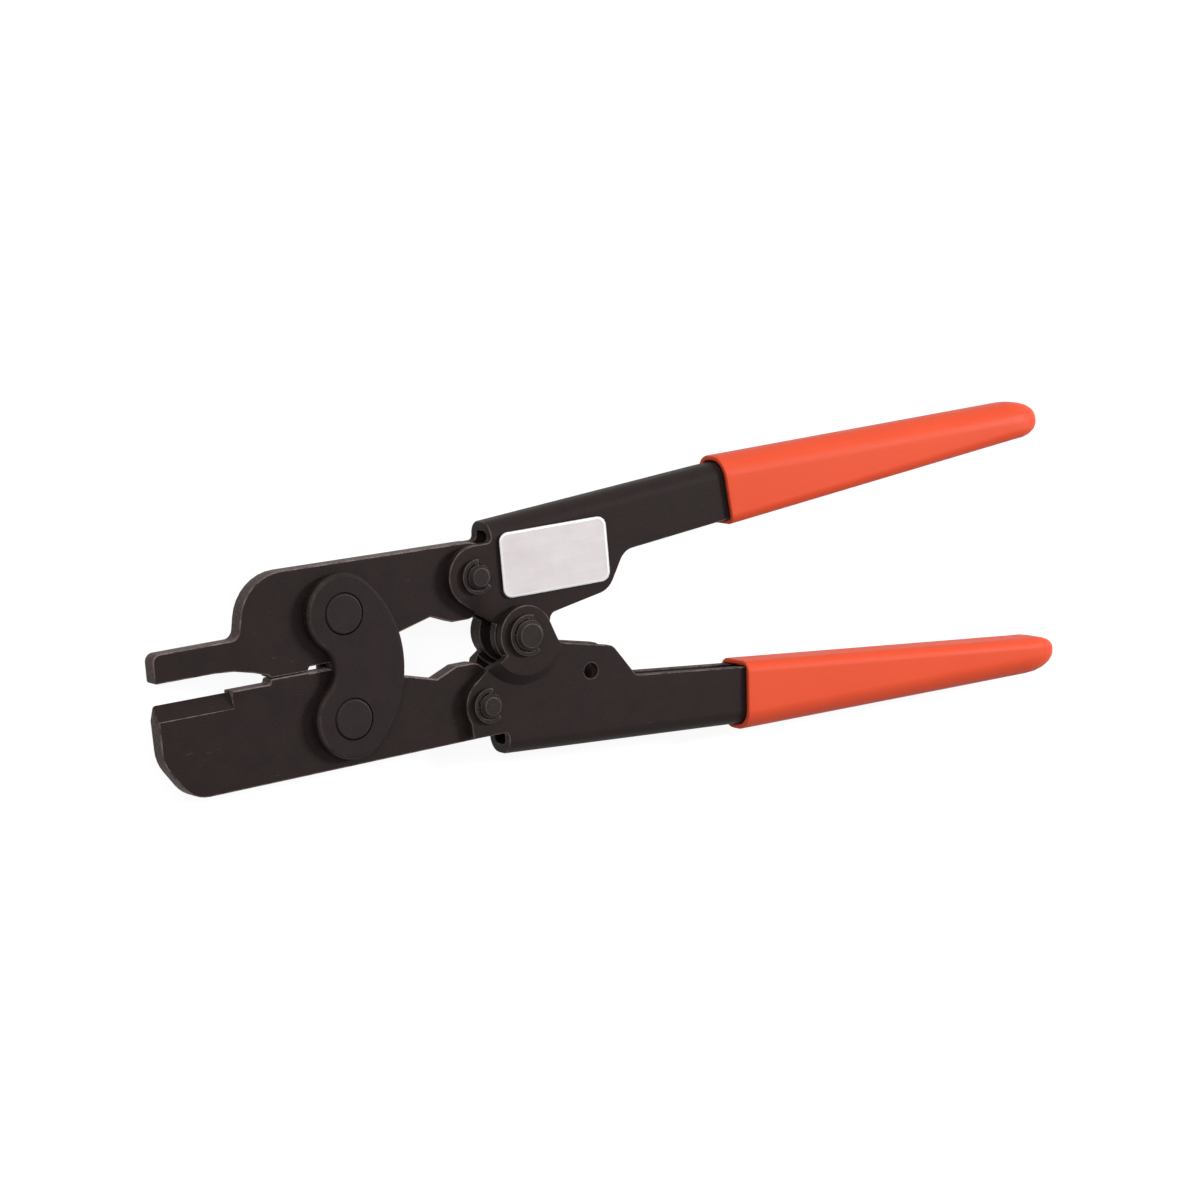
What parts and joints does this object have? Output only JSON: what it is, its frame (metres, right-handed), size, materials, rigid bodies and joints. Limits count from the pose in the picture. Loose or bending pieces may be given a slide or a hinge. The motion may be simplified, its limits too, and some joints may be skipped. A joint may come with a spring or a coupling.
{
  "type": "crimp ring removal tool",
  "caption": "Hand tool that cuts crimp rings off pipe fittings: a blade jaw and an anvil finger on link plates, worked by two compound-leverage channel handles with dipped grips.",
  "frame": {"origin": "middle of the underside of the bounding box of the tool lying on its back", "axes": "+X from the jaws to the grips, +Y towards the anvil finger's side, +Z out of the front face"},
  "size_m": [0.2732, 0.0754, 0.0209],
  "materials": {
    "black_oxide_steel": "black oxide on pressed and stamped steel, satin, brown-black",
    "pin_steel": "dark oxide on turned steel",
    "orange_vinyl": "dipped vinyl, satin",
    "label_aluminium": "thin bare foil plate, satin, with a bright rim"
  },
  "bodies": {
    "link": {"front_link_plate": "black_oxide_steel", "rear_link_plate": "black_oxide_steel", "upper_link_rivet": "pin_steel", "lower_link_rivet": "pin_steel"},
    "upper_jaw": {"upper_jaw": "black_oxide_steel"},
    "lower_jaw": {"lower_jaw": "black_oxide_steel"},
    "upper_handle": {"upper_handle": "black_oxide_steel", "upper_jaw_pin": "pin_steel", "upper_jaw_pin_ring": "pin_steel", "upper_grip": "orange_vinyl", "label_plate": "label_aluminium"},
    "lower_handle": {"lower_handle": "black_oxide_steel", "lower_jaw_pin": "pin_steel", "lower_jaw_pin_ring": "pin_steel", "handle_pivot_pin": "pin_steel", "handle_pivot_ring": "pin_steel", "lower_grip": "orange_vinyl"}
  },
  "joints": [
    {"name": "upper_handle_swing", "type": "hinge", "parent": "upper_jaw", "child": "upper_handle", "pos_m": [-0.04494, 0.0168, 0.01028], "axis": [0, 0, 1], "range_deg": [0, 30]},
    {"name": "upper_jaw_swing", "type": "hinge", "parent": "link", "child": "upper_jaw", "pos_m": [-0.08414, 0.0135, 0.01028], "axis": [0, 0, -1], "range_deg": [0, 7.9]},
    {"name": "lower_jaw_swing", "type": "hinge", "parent": "link", "child": "lower_jaw", "pos_m": [-0.08414, -0.0135, 0.01028], "axis": [0, 0, 1], "range_deg": [0, 7.9]},
    {"name": "lower_handle_swing", "type": "hinge", "parent": "lower_jaw", "child": "lower_handle", "pos_m": [-0.04494, -0.0168, 0.01028], "axis": [0, 0, -1], "range_deg": [0, 30]}
  ],
  "couplings": [
    {"joint": "upper_jaw_swing", "follows": "upper_handle_swing", "ratio": 0.2632},
    {"joint": "lower_jaw_swing", "follows": "upper_handle_swing", "ratio": 0.2632},
    {"joint": "lower_handle_swing", "follows": "upper_handle_swing", "ratio": 1}
  ]
}
